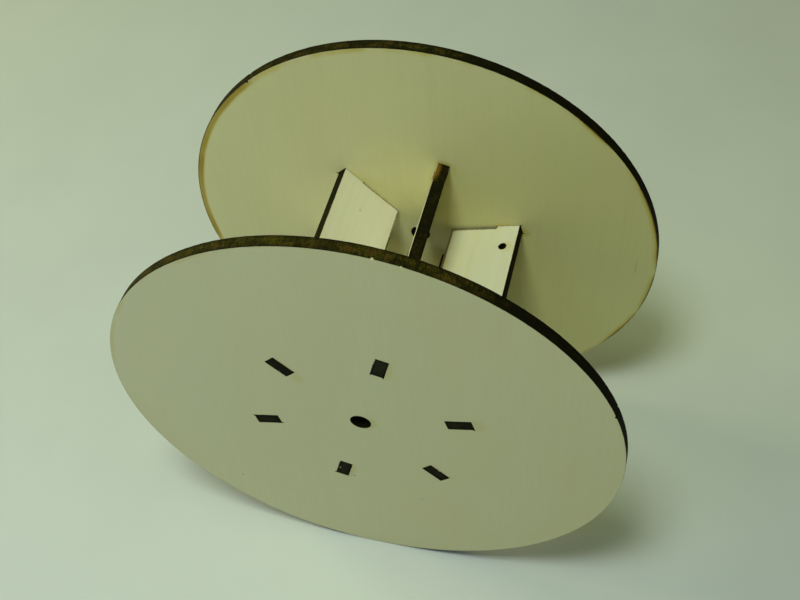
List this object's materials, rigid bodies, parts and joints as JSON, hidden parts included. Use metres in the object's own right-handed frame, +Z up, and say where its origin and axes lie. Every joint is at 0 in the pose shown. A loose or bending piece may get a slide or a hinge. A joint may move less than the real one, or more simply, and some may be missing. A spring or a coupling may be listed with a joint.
{
  "type": "plywood reel",
  "caption": "Laser-cut plywood reel: round flanges with a spindle hole, joined by radial vanes whose tabs pass through slots; winds wire, cord or filament.",
  "frame": {"origin": "on the reel's axis, halfway between the outer faces of the two flanges, at the middle of the spindle bore", "axes": "+Y along the reel's axis from the front flange to the rear flange, +Z up with the reel standing on both rims, +X to the right"},
  "size_m": [0.2, 0.102, 0.2],
  "materials": {
    "flange_plywood": "bare pale veneer with charred laser-cut edges, matte",
    "vane_plywood": "bare pale veneer with charred laser-cut edges, matte"
  },
  "bodies": {
    "root": {"front_flange": "flange_plywood", "rear_flange": "flange_plywood", "vane_1": "vane_plywood", "vane_2": "vane_plywood", "vane_3": "vane_plywood", "vane_4": "vane_plywood", "vane_5": "vane_plywood", "vane_6": "vane_plywood"}
  },
  "joints": []
}
